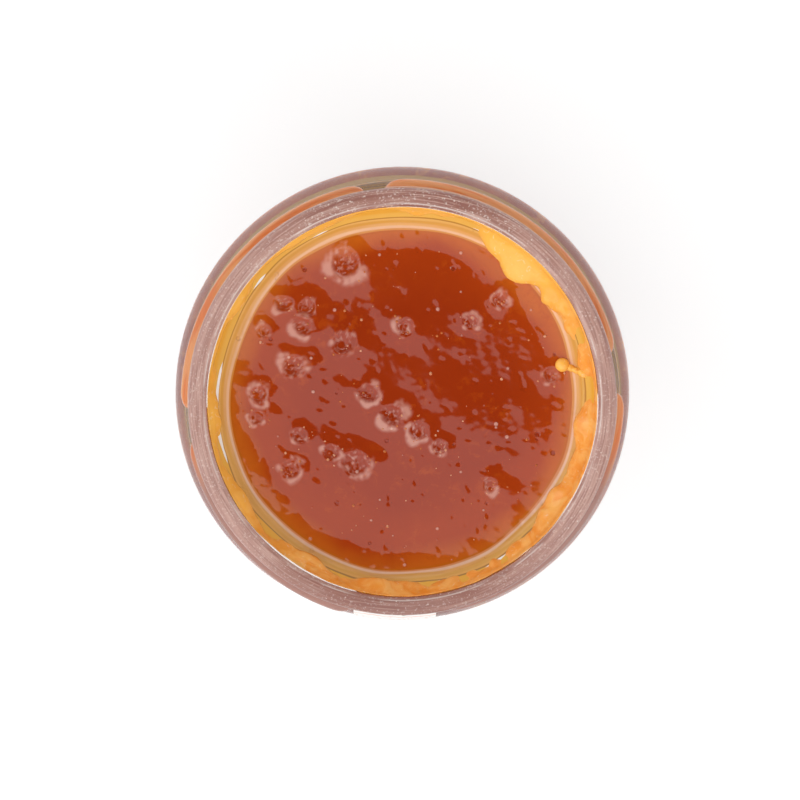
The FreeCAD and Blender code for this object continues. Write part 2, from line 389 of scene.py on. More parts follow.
def placeGroup(nodes, group, **values):
    node = nodes.add("Group", node_tree=group)
    for key, value in values.items():
        nodes.put(node.inputs[key], value)
    return node.outputs


glassLook = {
    "tint": (0.955, 0.985, 0.972, 1), "ior": 1.52, "dustRough": 0.03,
    "rimDark": (0.30, 0.125, 0.10, 1), "rimMiddle": (0.42, 0.215, 0.175, 1),
    # the pale rim tone is painted light for the sides of the land
    "rimLight": (0.56, 0.36, 0.31, 1), "rimSpeck": (0.86, 0.78, 0.74, 1), "rimPaintedLight": (0.66, 0.42, 0.37, 1),
    "rimClear": 0.22, "rimRough": 0.32, "rimScratch": 0.42,
    # painted reflection: the shoulder's grey and mauve stand in for what the thick glass reflects inside
    # itself
    "shoulderReflectionGrey": (0.56, 0.54, 0.47, 1), "shoulderReflectionMauve": (0.58, 0.44, 0.42, 1),
    "shoulderClear": 0.72, "shoulderRough": 0.12, "shoulderEdge": (1.4, 0.9),
    "lugOrange": (0.78, 0.20, 0.04, 1), "lugPale": (0.84, 0.34, 0.12, 1), "lugEdge": (0.88, 0.66, 0.54, 1),
    "lugClear": 0.25, "lugRough": 0.12, "lugEdgeAt": 0.13,
    "baseTint": (0.93, 0.94, 0.92, 1), "baseClear": 0.8, "baseRough": (0.42, 0.62),
}


def setGlass(nodes, shader, colour, clear, rough):
    nodes.put(shader.inputs["Base Color"], colour)
    nodes.put(shader.inputs["Transmission Weight"], clear)
    nodes.put(shader.inputs["Roughness"], rough)
    shader.inputs["IOR"].default_value = glassLook["ior"]


def glassMaterial():
    material, nodes, shader = newMaterial("clearGlass")
    dust = nodes.noise(nodes.place(), 900.0)
    rough = nodes.ramp(dust, 0.45, 0.75, 0.0, glassLook["dustRough"])
    setGlass(nodes, shader, glassLook["tint"], 1.0, rough)
    return material


def rimMaterial():
    # the land that the lid sat on: dusty, with fine scratches round it and dried specks
    material, nodes, shader = newMaterial("wornRim")
    place = nodes.place()
    fine = placeGroup(nodes, ringStreaks, Place=place, Across=5200.0, Along=5.0, Detail=2.0)
    broad = placeGroup(nodes, ringStreaks, Place=place, Across=1500.0, Along=2.2, Detail=1.0)
    patches = nodes.ramp(broad["Streak"], 0.38, 0.62)
    colour = nodes.mix(patches, glassLook["rimDark"], glassLook["rimMiddle"])
    colour = nodes.mix(nodes.ramp(fine["Streak"], 0.50, 0.64), colour, glassLook["rimLight"])
    dust = nodes.ramp(nodes.noise(place, 3400.0, 2.0, 0.6), 0.57, 0.68, 0.0, 0.75)
    colour = nodes.mix(dust, colour, glassLook["rimSpeck"])
    # painted light and shade: the land is painted paler on both sides and darker in front, where less of the
    # soft light reaches it
    x, y, z = nodes.split(place)
    sideways = nodes.ramp(nodes.maths("ABSOLUTE", x), 0.008, 0.022, 0.0, 0.42)
    colour = nodes.mix(sideways, colour, glassLook["rimPaintedLight"])
    colour = nodes.mix(nodes.ramp(y, -0.018, -0.026, 0.0, 0.45), colour, glassLook["rimDark"])
    colour = nodes.mix(nodes.ramp(fine["Streak"], 0.46, 0.34, 0.0, 0.55), colour, glassLook["rimDark"])
    grit = placeGroup(nodes, specks, Place=place, Scale=2300.0, Share=0.10, Size=0.28)
    colour = nodes.mix(nodes.times(grit["Mask"], 0.8), colour, glassLook["rimSpeck"])
    # one pale scratch with gaps, close to the bore
    offset = nodes.maths("SUBTRACT", fine["Radius"], (boreRadius + glassLook["rimScratch"]) * mm)
    scratch = nodes.ramp(nodes.maths("ABSOLUTE", offset), 0.00003, 0.00013, 0.55, 0.0)
    gaps = nodes.ramp(nodes.noise(place, 160.0, 3.0), 0.42, 0.56)
    colour = nodes.mix(nodes.times(scratch, gaps), colour, glassLook["rimSpeck"])
    nodes.link(nodes.bump(fine["Streak"], 0.25, 0.0002), shader.inputs["Normal"])
    setGlass(nodes, shader, colour, glassLook["rimClear"], glassLook["rimRough"])
    return material


def shoulderMaterial():
    # painted reflection: the thick shoulder is painted grey inside and mauve towards its outer edge, for what
    # the glass reflects inside itself
    material, nodes, shader = newMaterial("greyShoulderReflection")
    streak = placeGroup(nodes, ringStreaks, Place=nodes.place(), Across=1600.0,
                        Along=1.6, Detail=1.5)
    radius = nodes.maths("MULTIPLY_ADD", streak["Streak"], 0.0004, streak["Radius"])
    inner, outer = glassLook["shoulderEdge"]
    outer = nodes.ramp(radius, (bodyRadius - inner) * mm, (bodyRadius - outer) * mm)
    colour = nodes.mix(outer, glassLook["shoulderReflectionGrey"], glassLook["shoulderReflectionMauve"])
    setGlass(nodes, shader, colour, glassLook["shoulderClear"], glassLook["shoulderRough"])
    return material


def lugMaterial():
    # painted light: the lugs are painted with the orange glow of the pulp behind them, and a pale line runs
    # along their edges
    material, nodes, shader = newMaterial("lugGlass")
    place = nodes.place()
    streak = placeGroup(nodes, ringStreaks, Place=place, Across=900.0, Along=3.0, Detail=1.0)
    patches = nodes.ramp(streak["Streak"], 0.35, 0.65)
    colour = nodes.mix(patches, glassLook["lugOrange"], glassLook["lugPale"])
    x, y, z = nodes.split(place)
    colour = nodes.mix(nodes.ramp(y, -0.004, -0.014), colour, glassLook["rimMiddle"])
    offset = nodes.maths("SUBTRACT", nodes.attribute("lug"), glassLook["lugEdgeAt"])
    edge = nodes.ramp(nodes.maths("ABSOLUTE", offset), 0.02, 0.10, 0.7, 0.0)
    colour = nodes.mix(edge, colour, glassLook["lugEdge"])
    setGlass(nodes, shader, colour, glassLook["lugClear"], glassLook["lugRough"])
    return material


def baseMaterial():
    # the underside is stippled by the mould and scuffed by the table, so it scatters the light from below
    material, nodes, shader = newMaterial("stippledBase")
    grain = nodes.noise(nodes.place(), 1300.0, 3.0)
    rough = nodes.ramp(grain, 0.3, 0.7, *glassLook["baseRough"])
    setGlass(nodes, shader, glassLook["baseTint"], glassLook["baseClear"], rough)
    return material


# how high the base reaches, and how steeply a face has to look up or down to take each finish
glassZones = {"baseTop": 6.0, "base": -0.35, "shoulder": 0.34, "lug": 0.02, "bead": 0.6}


def glassZone(face):
    # which of the five finishes a face of the glass takes: clear, rim, shoulder, lug or base
    centre = face.center / mm
    up = face.normal.z
    radius = math.hypot(centre.x, centre.y)
    lugsFoot = jarHeight - g["beadDepth"] + g["beadHeight"]
    if centre.z < glassZones["baseTop"] and up < glassZones["base"]:
        return 4
    if centre.z > jarHeight - g["rimOuter"] and radius > boreRadius + 0.05:
        return 1
    if radius > g["finishRadius"] + 0.35 and wallTop < centre.z < neckFoot and up > glassZones["shoulder"]:
        return 2
    if centre.z > lugsFoot and radius > g["finishRadius"] + 0.06 and up > glassZones["lug"]:
        return 3
    if radius > g["finishRadius"] and neckFoot <= centre.z <= lugsFoot and up > glassZones["bead"]:
        return 2
    return 0


glassFinishes = [glassMaterial(), rimMaterial(), shoulderMaterial(), lugMaterial(), baseMaterial()]
glass = newPiece("jarGlass", buildGlass(), glassFinishes)
for face in glass.data.polygons:
    face.material_index = glassZone(face)
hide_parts("jar")
print("glass made,", len(glass.data.polygons), "faces")


# ---- jam

jamSizes = {
    "depth": 6.0, "climb": 3.4, "climbWidth": 2.6, "climbPower": 1.8, "intoWall": 0.06,
    "footRise": 0.5, "footWidth": 5.5, "footPower": 1.2,
    "grid": 250, "skirtStep": 12.0, "lightAngle": 236.0,
    # height and length of the slow swell, the ripple and the finest unevenness of the set surface
    "waves": [(0.11, 14.0), (0.015, 2.2), (0.0062, 0.8)],
    # small dents where bubbles burst
    "dentDepth": 0.17, "dentLength": 1.15, "dentShare": 0.45,
}
# pits that bubbles left: x, y, radius, depth, swelling
pits = [
    (-7.8, 19.3, 2.1, 0.75, 0.34), (-8.0, 8.0, 1.7, 0.6, 0.3), (-16.5, 13.5, 1.3, 0.5, 0.22),
    (-13.2, 12.8, 1.4, 0.5, 0.24), (-13.8, 10.4, 1.4, 0.5, 0.24), (-19.2, 9.6, 1.0, 0.35, 0.16),
    (-15.2, 4.8, 1.7, 0.5, 0.26), (-4.6, 1.0, 1.5, 0.55, 0.26), (-20.0, 0.8, 1.4, 0.45, 0.22),
    (-1.4, -2.0, 1.7, 0.6, 0.3), (-20.3, -2.4, 1.1, 0.4, 0.16), (-14.4, -4.9, 1.2, 0.4, 0.2),
    (-9.9, -7.3, 1.2, 0.4, 0.2), (-6.6, -8.8, 2.0, 0.55, 0.26), (-15.6, -9.6, 1.5, 0.5, 0.26),
    (9.4, 10.9, 1.1, 0.3, 0.2), (2.3, -4.2, 1.5, 0.4, 0.22), (5.2, -6.4, 1.1, 0.35, 0.18),
    (13.6, 14.0, 1.2, 0.35, 0.2), (20.6, 3.6, 1.2, 0.4, 0.2), (0.4, 10.2, 1.3, 0.35, 0.22),
    (12.2, -11.8, 1.1, 0.3, 0.18),
]
# places where the surface leans to the soft light, or away from it: x, y, radius, lean
leans = [
    (0.8, 8.9, 3.3, 0.030), (10.0, 9.8, 1.3, 0.045), (8.4, 6.1, 1.4, 0.030), (15.2, -1.2, 1.9, 0.020),
    (-8.0, 18.4, 3.4, 0.034), (11.8, 17.0, 2.4, 0.040), (14.4, 14.4, 2.0, 0.045), (-3.8, 1.4, 1.6, 0.02),
    (-11.2, 6.2, 1.9, -0.050), (-8.6, 3.0, 1.8, -0.048), (-6.4, 5.6, 1.6, -0.030),
    (-10.2, -4.6, 1.8, -0.072), (-6.6, -5.8, 1.7, -0.066), (-3.0, -7.4, 1.5, -0.058),
    (14.4, -11.2, 2.4, -0.055), (12.4, -13.6, 1.3, -0.06), (15.4, -7.6, 1.3, -0.040),
    (-17.6, -1.2, 1.0, -0.075), (-18.0, 10.8, 1.0, -0.05), (-12.0, -11.2, 1.0, -0.08),
    (9.0, 1.5, 6.5, -0.024),
]
# the shape of every pit, in its own radii across and in shares of its depth or swelling upwards
pitShape = {
    "reach": 2.8, "unround": 0.26, "bowl": 0.9, "skirtRise": 0.5, "skirtWidth": 0.8, "lipRise": 0.10,
    "lipUneven": 1.1, "lipWidth": 0.24, "bubbleRise": 0.45, "bubbleGrain": 1.9,
    "glow": 0.34, "glowUneven": 1.9, "glowFine": 1.1, "glowLean": 0.22, "frothWidth": 0.2, "foam": 1.6,
}
b = pitShape
j = jamSizes
jamLevel = jarHeight - j["depth"]
lightWay = (math.cos(math.radians(j["lightAngle"])), math.sin(math.radians(j["lightAngle"])))


def climbAt(radius):
    share = (radius - boreRadius + j["climbWidth"]) / j["climbWidth"]
    gentle = (radius - boreRadius + j["footWidth"]) / j["footWidth"]
    steep = j["climb"] * max(0.0, min(1.1, share)) ** j["climbPower"]
    return steep + j["footRise"] * max(0.0, min(1.0, gentle)) ** j["footPower"]


def swellAt(x, y):
    total = 0.0
    for index, (height, length) in enumerate(j["waves"]):
        total += height * wobble(x / length, y / length, 0.3, index + 1)
    dent = wobble(x / j["dentLength"], y / j["dentLength"], 0.7, 41) - j["dentShare"]
    total -= j["dentDepth"] * max(0.0, dent)
    for centreX, centreY, radius, lean in leans:
        offX, offY = x - centreX, y - centreY
        away = (offX * offX + offY * offY) / (radius * radius)
        if away < 7:
            total -= lean * (offX * lightWay[0] + offY * lightWay[1]) * math.exp(-away)
    return total


def pitAt(x, y, pit):
    # height and froth at a place near a pit: a swollen lip, an uneven bowl with small bubbles, and froth that
    # carries a painted highlight
    centreX, centreY, radius, depth, swelling = pit
    offX, offY = x - centreX, y - centreY
    away = math.hypot(offX, offY) / radius
    if away > b["reach"]:
        return 0.0, 0.0
    turnX, turnY = (offX / radius / away, offY / radius / away) if away > 0.01 else (1.0, 0.0)
    unround = wobble(turnX * 0.8 + centreX, turnY * 0.8 + centreY, radius, 5)
    away *= 1 + b["unround"] * unround * min(1.0, away)
    uneven = wobble(turnX * 0.9 + centreY, turnY * 0.9, centreX, 7)
    bowl = b["bowl"]
    skirt = b["skirtRise"] * swelling
    hollow = 0.0
    bubbles = 0.0
    if away > bowl:
        skirt *= math.exp(-((away - bowl) / b["skirtWidth"]) ** 2)
    if away < bowl:
        hollow = depth * (1 - (away / bowl) ** 2)
        grain = wobble(x * b["bubbleGrain"], y * b["bubbleGrain"], centreX, 8)
        bubbles = b["bubbleRise"] * depth * (grain + 0.25) * (1 - away)
    ring = b["lipRise"] * swelling * (1 + b["lipUneven"] * uneven)
    ring *= math.exp(-((away - 1.0) / b["lipWidth"]) ** 2)
    fine = wobble(x * 1.6, y * 1.6, radius, 10)
    glow = b["glow"] + b["glowUneven"] * uneven + b["glowFine"] * fine
    # painted highlight: the froth is paler on the side of the pit that faces the soft light
    glow = max(0.0, glow - b["glowLean"] * (turnY + turnX))
    width = b["frothWidth"] * (1 + abs(uneven))
    frothAndHighlight = glow * math.exp(-((away - 1.0 - 0.4 * uneven) / width) ** 2)
    foam = max(0.0, wobble(x * 2.3, y * 2.3, centreY, 9) - 0.12)
    frothAndHighlight += b["foam"] * foam * (1 - smoothStep(0.6, 1.1, away))
    return skirt + ring - hollow + bubbles, min(1.0, frothAndHighlight)


def jamHeight(x, y):
    radius = math.hypot(x, y)
    # the foot of the climb wanders in and out, and the swell dies away towards the wall
    uneven = 1.1 * wobble(x / 7, y / 7, 0.2, 21) + 0.35 * wobble(x / 2, y / 2, 0.2, 22)
    uneven *= 1 - smoothStep(boreRadius - 4, boreRadius - 2, radius)
    swell = swellAt(x, y) * (1 - smoothStep(boreRadius - 3, boreRadius, radius))
    height = swell + climbAt(radius + uneven)
    frothAndHighlight = 0.0
    for pit in pits:
        if abs(x - pit[0]) < 6 and abs(y - pit[1]) < 6:
            lift, foam = pitAt(x, y, pit)
            height += lift
            frothAndHighlight = max(frothAndHighlight, foam)
    return height, frothAndHighlight


def discPlace(u, v):
    # where a point of a square from -1 to 1 lies on a disc, with even spacing
    if u == 0 and v == 0:
        return 0.0, 0.0
    if abs(u) > abs(v):
        radius, turn = u, math.pi / 4 * v / u
    else:
        radius, turn = v, math.pi / 2 - math.pi / 4 * u / v
    return radius * math.cos(turn), radius * math.sin(turn)


def buildJam():
    bm = bmesh.new()
    bmesh.ops.create_grid(bm, x_segments=j["grid"], y_segments=j["grid"], size=1.0)
    frothLayer = bm.verts.layers.float.new("frothAndHighlight")
    reach = boreRadius + j["intoWall"]
    for vert in bm.verts:
        x, y = discPlace(vert.co.x, vert.co.y)
        x, y = x * reach, y * reach
        height, frothAndHighlight = jamHeight(x, y)
        vert.co = (x, y, jamLevel + height)
        vert[frothLayer] = frothAndHighlight
    wall = [(across + j["intoWall"], up, fillet) for across, up, fillet in innerCorners()]
    sides = roundedOutline([(reach, jamLevel, 0)] + wall)
    rim = [edge for edge in bm.edges if edge.is_boundary]
    for point in closeSteps(sides, j["skirtStep"])[:-1]:
        made = bmesh.ops.extrude_edge_only(bm, edges=rim)["geom"]
        rim = [item for item in made if isinstance(item, bmesh.types.BMEdge)]
        for vert in [item for item in made if isinstance(item, bmesh.types.BMVert)]:
            turn = math.atan2(vert.co.y, vert.co.x)
            vert.co = (point.x * math.cos(turn), point.x * math.sin(turn), point.y)
            vert[frothLayer] = 0.0
    bmesh.ops.contextual_create(bm, geom=rim)
    return finishMesh(bm, "jamFilling")


jamLook = {
    "deep": (0.30, 0.026, 0.0008, 1), "middle": (0.37, 0.040, 0.0014, 1), "edge": (0.54, 0.115, 0.006, 1),
    # the froth tone is froth with a painted highlight
    "shred": (0.43, 0.062, 0.002, 1), "frothAndHighlight": (0.76, 0.44, 0.36, 1), "dentShade": (0.27, 0.020, 0.002, 1),
    "side": (0.46, 0.060, 0.001, 1), "sideLight": (0.62, 0.125, 0.002, 1), "pulp": (0.80, 0.27, 0.012, 1),
    "sideFoot": (0.86, 0.34, 0.02, 1), "roughness": 0.05, "sideRough": 0.5, "ior": 1.46,
}
# colours of the jam that thins out up the glass, with a painted highlight line and a painted shade line among
# them: distance in from the wall in mm, back colour, front colour
jamRings = [
    (3.05, (0.50, 0.11, 0.005, 1), (0.50, 0.12, 0.003, 1)),
    (2.72, (0.66, 0.26, 0.05, 1), (0.62, 0.24, 0.09, 1)),
    # painted highlight: the pale pink line where the jam starts to climb the glass
    (2.50, (0.80, 0.45, 0.25, 1), (0.74, 0.46, 0.32, 1)),
    (2.14, (0.74, 0.36, 0.11, 1), (0.64, 0.31, 0.07, 1)),
    (1.75, (0.70, 0.34, 0.07, 1), (0.68, 0.37, 0.10, 1)),
    (1.35, (0.78, 0.44, 0.12, 1), (0.74, 0.42, 0.12, 1)),
    # painted shade: the dark line along the foot of the pulp
    (1.16, (0.50, 0.22, 0.04, 1), (0.38, 0.20, 0.07, 1)),
    (1.02, (0.84, 0.48, 0.09, 1), (0.84, 0.47, 0.08, 1)),
    (0.30, (0.84, 0.42, 0.05, 1), (0.84, 0.40, 0.05, 1)),
]
glintSizes = {
    "fromWall": 1.02, "halfWidth": 0.16, "along": 2.4, "share": 0.55, "colour": (0.97, 0.95, 0.90, 1),
}


def jamMaterial():
    material, nodes, shader = newMaterial("apricotJam", jamLook["roughness"])
    place = nodes.place()
    flat, radius, height = flatRadius(nodes, place)
    cloud = nodes.noise(place, 90.0, 3.0)
    toMiddle = nodes.ramp(nodes.maths("MULTIPLY_ADD", cloud, 0.010, radius), 0.017, 0.027)
    toEdge = nodes.ramp(nodes.maths("MULTIPLY_ADD", cloud, 0.004, radius), 0.0225, 0.0262)
    colour = nodes.mix(toMiddle, jamLook["deep"], jamLook["middle"])
    colour = nodes.mix(toEdge, colour, jamLook["edge"])
    # shreds of fruit under the surface
    shreds = nodes.noise(place, 620.0, 6.0, 0.66, 0.5)
    patches = nodes.ramp(nodes.noise(place, 130.0), 0.42, 0.62)
    shreds = nodes.times(nodes.ramp(shreds, 0.52, 0.66, 0.0, 0.55), patches)
    colour = nodes.mix(shreds, colour, jamLook["shred"])
    # where the jam thins out up the glass: rings of amber that wander a little, with a painted pale highlight
    # line and a painted dark shade line among them
    streak = placeGroup(nodes, ringStreaks, Place=place, Across=1100.0, Along=1.3, Detail=1.5)
    ring = nodes.maths("MULTIPLY_ADD", streak["Streak"], 0.0007, radius)
    wander = nodes.maths("SUBTRACT", nodes.noise(flat, 70.0, 1.0), 0.5)
    ring = nodes.maths("ADD", ring, nodes.times(wander, 0.0013))
    ring = nodes.maths("ADD", ring, -(boreRadius + 0.35) * mm)
    x, y, z = nodes.split(place)
    toFront = nodes.ramp(y, 0.004, -0.014)
    for index, (inward, back, front) in enumerate(jamRings):
        outer = jamRings[max(0, index - 1)][0]
        width = max(0.1, (outer - inward) * 0.5)
        amount = nodes.ramp(ring, -(inward + width) * mm, -(inward - 0.02) * mm)
        colour = nodes.mix(amount, colour, nodes.mix(toFront, back, front))
    # painted glints: near-white slivers where the pulp has drawn away from the jam, standing in for the pale
    # table seen through bare glass
    turnPlace = nodes.add("VectorMath", operation="NORMALIZE")
    nodes.link(flat, turnPlace.inputs[0])
    slivers = nodes.noise(turnPlace.outputs[0], glintSizes["along"])
    slivers = nodes.ramp(slivers, glintSizes["share"] - 0.02, glintSizes["share"] + 0.06)
    offset = nodes.maths("ABSOLUTE", nodes.maths("ADD", ring, glintSizes["fromWall"] * mm))
    narrow = nodes.times(slivers, glintSizes["halfWidth"] * mm)
    sliver = nodes.maths("GREATER_THAN", narrow, offset)
    sliver = nodes.times(sliver, nodes.ramp(slivers, 0.0, 0.3))
    colour = nodes.mix(sliver, colour, glintSizes["colour"])
    # froth round the pits, with a painted highlight on the side toward the soft light; small bubbles painted
    # pale as froth and painted highlight, and small dents painted darker as painted shade
    frothAndHighlight = nodes.ramp(nodes.attribute("frothAndHighlight"), 0.05, 1.0, 0.0, 0.5, smooth=False)
    colour = nodes.mix(frothAndHighlight, colour, jamLook["frothAndHighlight"])
    inside = nodes.ramp(radius, (boreRadius - 2.6) * mm, (boreRadius - 3.6) * mm)
    dots = placeGroup(nodes, specks, Place=flat, Scale=620.0, Share=0.30, Size=0.17)
    pale = nodes.times(dots["Mask"], nodes.times(inside, 0.55))
    colour = nodes.mix(pale, colour, jamLook["frothAndHighlight"])
    holes = placeGroup(nodes, specks, Place=flat, Scale=430.0, Share=0.24, Size=0.16)
    dark = nodes.times(holes["Mask"], nodes.times(inside, 0.8))
    colour = nodes.mix(dark, colour, jamLook["dentShade"])
    nodes.link(colour, shader.inputs["Base Color"])
    relief = nodes.maths("SUBTRACT", dots["Mask"], nodes.times(holes["Mask"], 1.4))
    nodes.link(nodes.bump(relief, 0.6, 0.00014), shader.inputs["Normal"])
    shader.inputs["IOR"].default_value = jamLook["ior"]
    return material


def jamSideMaterial():
    # the jam as it is seen through the glass, with shreds of pulp and small bubbles pressed against it
    material, nodes, shader = newMaterial("apricotJamSide", jamLook["sideRough"])
    place = nodes.place()
    clouds = nodes.ramp(nodes.noise(place, 75.0, 4.0, 0.6), 0.38, 0.62)
    colour = nodes.mix(clouds, jamLook["side"], jamLook["sideLight"])
    pieces = nodes.noise(place, 230.0, 3.0, 0.55, 0.6)
    pieces = nodes.ramp(pieces, 0.60, 0.65, 0.0, 0.75)
    fibres = nodes.noise(place, 760.0, 6.0, 0.66, 0.8)
    fibres = nodes.ramp(fibres, 0.56, 0.66, 0.0, 0.6)
    colour = nodes.mix(nodes.maths("MAXIMUM", pieces, fibres), colour, jamLook["pulp"])
    dots = placeGroup(nodes, specks, Place=place, Scale=430.0, Share=0.22, Size=0.2)
    colour = nodes.mix(nodes.times(dots["Mask"], 0.7), colour, jamLook["sideFoot"])
    # thin and amber where it climbs the neck above the level
    x, y, z = nodes.split(place)
    uneven = nodes.maths("MULTIPLY_ADD", nodes.noise(place, 160.0, 3.0), 0.003, z)
    thin = nodes.ramp(uneven, (jamLevel + 0.8) * mm, (jamLevel + 2.6) * mm)
    colour = nodes.mix(thin, colour, jamLook["sideFoot"])
    nodes.link(colour, shader.inputs["Base Color"])
    shader.inputs["Specular IOR Level"].default_value = 0.0
    return material


jam = newPiece("jamFilling", buildJam(), [jamMaterial(), jamSideMaterial()])
for face in jam.data.polygons:
    onSide = face.normal.z < 0.2 and face.center.z < (jamLevel + 3) * mm
    face.material_index = 1 if onSide else 0
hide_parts("jam")
print("jam made,", len(jam.data.polygons), "faces")


# ---- small bubbles that stand in the surface

bubbleSizes = {
    "scattered": 70, "perPit": 5, "small": 0.07, "large": 0.26, "seed": 4, "reach": 22.0, "sunk": 0.45,
    "dark": (0.50, 0.12, 0.02, 1), "pale": (0.66, 0.30, 0.17, 1), "roughness": 0.08,
}


def bubblePlaces():
    random.seed(bubbleSizes["seed"])
    small, large = bubbleSizes["small"], bubbleSizes["large"]
    places = []
    for pit in pits:
        for index in range(bubbleSizes["perPit"]):
            turn = random.uniform(0, math.tau)
            away = pit[2] * random.uniform(0.2, 1.7)
            size = random.uniform(small, large * 0.8)
            places.append((pit[0] + away * math.cos(turn), pit[1] + away * math.sin(turn), size))
    for index in range(bubbleSizes["scattered"]):
        turn = random.uniform(0, math.tau)
        away = bubbleSizes["reach"] * math.sqrt(random.random())
        size = small + (large - small) * random.random() ** 3
        places.append((away * math.cos(turn), away * math.sin(turn), size))
    return [place for place in places if math.hypot(place[0], place[1]) < bubbleSizes["reach"] + 1]


def buildBubbles():
    bm = bmesh.new()
    for x, y, size in bubblePlaces():
        level = jamLevel + jamHeight(x, y)[0] - bubbleSizes["sunk"] * size
        shape = Matrix.Diagonal((1, random.uniform(0.75, 1.25), 0.9, 1))
        spot = Matrix.Translation((x, y, level)) @ shape
        bmesh.ops.create_icosphere(bm, subdivisions=2, radius=size, matrix=spot)
    return finishMesh(bm, "surfaceBubbles")


def bubbleMaterial():
    material, nodes, shader = newMaterial("bubbleSkin", bubbleSizes["roughness"])
    tone = nodes.ramp(nodes.noise(nodes.place(), 300.0, 1.0), 0.4, 0.6)
    colour = nodes.mix(tone, bubbleSizes["dark"], bubbleSizes["pale"])
    nodes.link(colour, shader.inputs["Base Color"])
    return material


bubbles = newPiece("surfaceBubbles", buildBubbles(), [bubbleMaterial()])
print("bubbles made,", len(bubbles.data.polygons), "faces")


# ---- paper seal

sealSizes = {
    "width": 12.0, "angle": 268.0, "thickness": 0.15, "bottom": 44.0, "tearRadius": 31.3, "tearDepth": 0.55,
    "tearShare": 0.042, "tearFrom": 0.8, "acrossSteps": 72, "alongStep": 0.45, "arcSteps": 10,
    "curl": 0.12, "curlFrom": 0.93, "sunk": 0.02, "shrunk": 0.03,
}
q = sealSizes
# the paper's colours, and how far below the rim its faded marks, line and torn fibres lie
sealLook = {
    "paper": (0.84, 0.81, 0.79, 1), "paperLight": (0.93, 0.91, 0.89, 1), "mark": (0.86, 0.42, 0.30, 1),
    "fibre": (0.90, 0.80, 0.75, 1), "line": 13.35, "marksFoot": (15.6, 14.4), "marksTop": (13.7, 14.0),
    "torn": (13.0, 12.8), "roughness": 0.6,
}


def sealLine():
    # the outside of the glass from the foot of the seal to its tear on the shoulder
    panel = bodyRadius - g["panelRecess"]
    corners = [corner for corner in outerCorners() if q["bottom"] - 1 < corner[1] <= neckFoot]
    ending = corners[-1][:2] + (0,)
    line = roundedOutline([(panel, q["bottom"], 0)] + corners[:-1] + [ending], q["arcSteps"])
    tear = q["tearRadius"] - q["tearDepth"]
    onBody = shoulderFoot - 4
    return [point for point in closeSteps(line, q["alongStep"]) if point.x > tear or point.y < onBody]


def sealPlace(share, across, length):
    # how many steps up the line a row of the grid lies: the last rows end in the tear
    torn = 0.5 + wobble(across * 0.5, 0.2, 0.1, 31) + 0.4 * wobble(across * 1.9, 0.4, 0.1, 32)
    reach = length * (1 - q["tearShare"] * max(0.0, torn))
    if share < q["tearFrom"]:
        return share * length
    whole = length * q["tearFrom"]
    return whole + (share - q["tearFrom"]) / (1 - q["tearFrom"]) * (reach - whole)


def buildSeal():
    line = sealLine()
    length = len(line) - 1
    bm = bmesh.new()
    bmesh.ops.create_grid(bm, x_segments=q["acrossSteps"], y_segments=length, size=1.0)
    for vert in bm.verts:
        across = vert.co.x * q["width"] / 2
        share = (vert.co.y + 1) / 2
        place = sealPlace(share, across, length)
        first = min(length - 1, int(place))
        point = line[first].lerp(line[first + 1], place - first)
        along = (line[first + 1] - line[first]).normalized()
        curl = q["curl"] * smoothStep(q["curlFrom"], 1.0, share) * (1 + wobble(across, 0.3, 0.2, 33))
        lift = q["thickness"] - q["sunk"] + curl
        radius = point.x + along.y * lift
        turn = math.radians(q["angle"]) + math.asin(across / radius)
        vert.co = (radius * math.cos(turn), radius * math.sin(turn), point.y - along.x * lift)
    bmesh.ops.recalc_face_normals(bm, faces=bm.faces)
    bmesh.ops.solidify(bm, geom=bm.faces[:], thickness=q["thickness"] - q["shrunk"])
    return finishMesh(bm, "paperSeal")


def belowRim(depth):
    return (jarHeight - depth) * mm


def paperMaterial():
    material, nodes, shader = newMaterial("sealPaper", sealLook["roughness"])
    place = nodes.place()
    fibre = nodes.noise(place, 1500.0, 3.0)
    colour = nodes.mix(fibre, sealLook["paper"], sealLook["paperLight"])
    x, y, height = nodes.split(place)
    # a faint line near the tear, small faded marks below it and the bare fibres of the torn end
    unsteady = nodes.maths("MULTIPLY_ADD", nodes.noise(place, 420.0), 0.0006, height)
    offset = nodes.maths("SUBTRACT", unsteady, belowRim(sealLook["line"]))
    line = nodes.ramp(nodes.maths("ABSOLUTE", offset), 0.00005, 0.00016, 0.6, 0.0)
    marks = nodes.ramp(nodes.noise(place, 1300.0, 1.0, 0.4, 2.2), 0.60, 0.66, 0.0, 0.55)
    for low, high in (sealLook["marksFoot"], sealLook["marksTop"]):
        marks = nodes.times(marks, nodes.ramp(height, belowRim(low), belowRim(high)))
    colour = nodes.mix(nodes.maths("MAXIMUM", line, marks), colour, sealLook["mark"])
    tornFrom, tornTo = sealLook["torn"]
    torn = nodes.ramp(unsteady, belowRim(tornFrom), belowRim(tornTo), 0.0, 0.7)
    colour = nodes.mix(torn, colour, sealLook["fibre"])
    nodes.link(colour, shader.inputs["Base Color"])
    nodes.link(nodes.bump(fibre, 0.3, 0.0001), shader.inputs["Normal"])
    return material


seal = newPiece("paperSeal", buildSeal(), [paperMaterial()])
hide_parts("paper_seal")
print("seal made,", len(seal.data.polygons), "faces")


# ---- pulp on the wall of the neck

pulpSizes = {
    "steps": 720, "levels": 14, "topDepth": 1.2, "sunk": 0.5, "intoWall": 0.05, "filmThin": 0.22,
    "least": 0.04, "bandHeight": 5, "bandShare": 0.38,
    # height, length and seed of the lumps, of the crumbs and of the slow change in thickness
    "uneven": [(0.42, 2.3, 11), (0.10, 0.8, 12), (0.8, 4.5, 13)],
}
